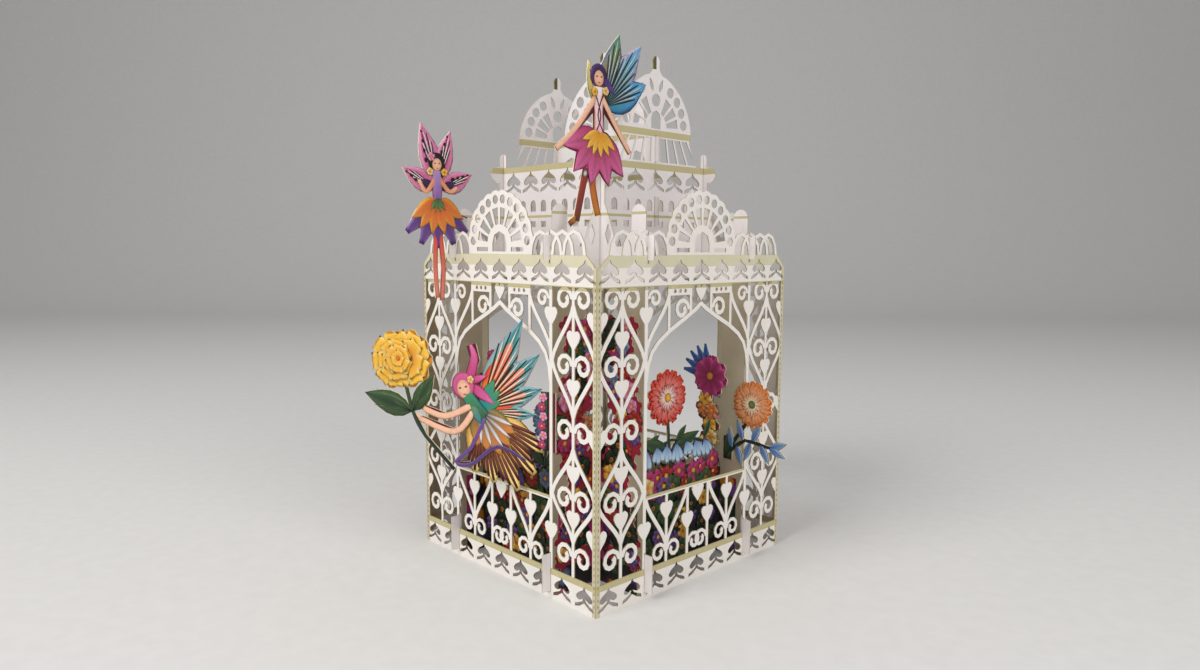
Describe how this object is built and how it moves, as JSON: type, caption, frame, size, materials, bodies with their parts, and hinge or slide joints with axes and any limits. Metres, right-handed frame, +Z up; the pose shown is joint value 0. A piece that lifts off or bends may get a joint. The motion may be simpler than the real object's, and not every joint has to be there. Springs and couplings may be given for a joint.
{
  "type": "pop up card",
  "caption": "Square tower pop up card of pierced ivory card with slotted cross panels, domed roof, flower beds and winged figures, standing open on a table.",
  "frame": {"origin": "middle of the square foot, on the table", "axes": "+Z up; the right wall faces +X, the left wall faces -Y, the front corner is at +X -Y"},
  "size_m": [0.1214, 0.1292, 0.1905],
  "materials": {
    "ivory_card": "matte uncoated",
    "bed_print": "matte print",
    "blossom_print": "matte print",
    "daisy_print": "matte print",
    "figure_print": "matte print",
    "rose_print": "matte print"
  },
  "bodies": {
    "root": {"front_wall_sheet": "ivory_card", "rear_wall_sheet": "ivory_card", "front_dome_panel": "ivory_card", "rear_dome_panel": "ivory_card", "left_cross_panel": "ivory_card", "right_cross_panel": "ivory_card", "centre_dome_panel": "ivory_card", "right_bed": "bed_print", "left_bed": "bed_print", "corner_blossoms_left": "blossom_print", "corner_blossoms_right": "blossom_print", "cosmos_spray": "blossom_print", "daisy_spray": "daisy_print", "corner_figure": "figure_print", "roof_figure": "figure_print", "flying_figure": "figure_print", "rose_spray": "rose_print"}
  },
  "joints": []
}
